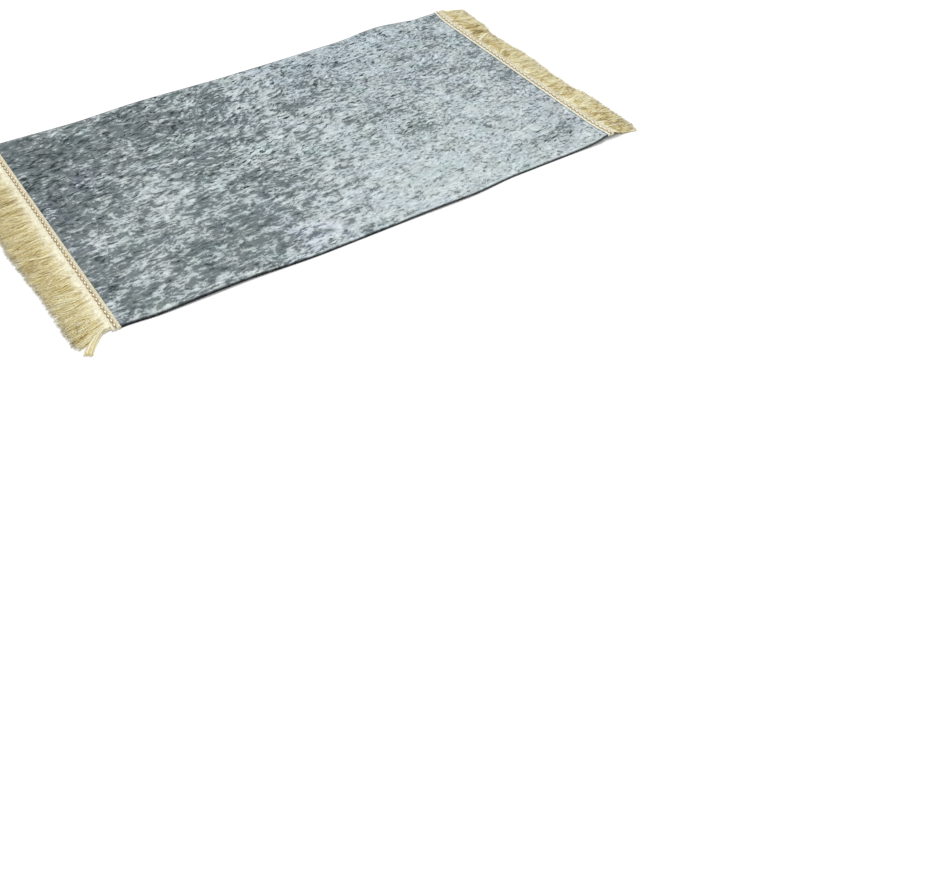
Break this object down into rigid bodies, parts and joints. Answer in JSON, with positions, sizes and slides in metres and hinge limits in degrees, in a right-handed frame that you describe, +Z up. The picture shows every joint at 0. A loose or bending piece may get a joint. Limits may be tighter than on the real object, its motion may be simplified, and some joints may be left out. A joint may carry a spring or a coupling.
{
  "type": "prayer rug",
  "caption": "Thin crushed-velvet rug lying flat, with a woven tape, a raised chain braid and a combed thread fringe along each short end.",
  "frame": {"origin": "on the floor under the middle of the whole rug's box, fringes included", "axes": "+X along the rug's length, +Y across it, +Z up out of the pile; the rug lies on z = 0"},
  "size_m": [1.2783, 0.7336, 0.0099],
  "materials": {
    "velvet": "crushed silver-blue velvet pile",
    "cream_tape": "woven cream tape with a looped edge",
    "gold_braid": "lustrous gold yarn, chain braid",
    "fringe_thread": "silky pale-gold thread"
  },
  "bodies": {
    "root": {"velvet_panel": "velvet", "heading_tape_left": "cream_tape", "heading_tape_right": "cream_tape", "gold_braid_left": "gold_braid", "gold_braid_right": "gold_braid", "fringe_left": "fringe_thread", "fringe_right": "fringe_thread"}
  },
  "joints": []
}
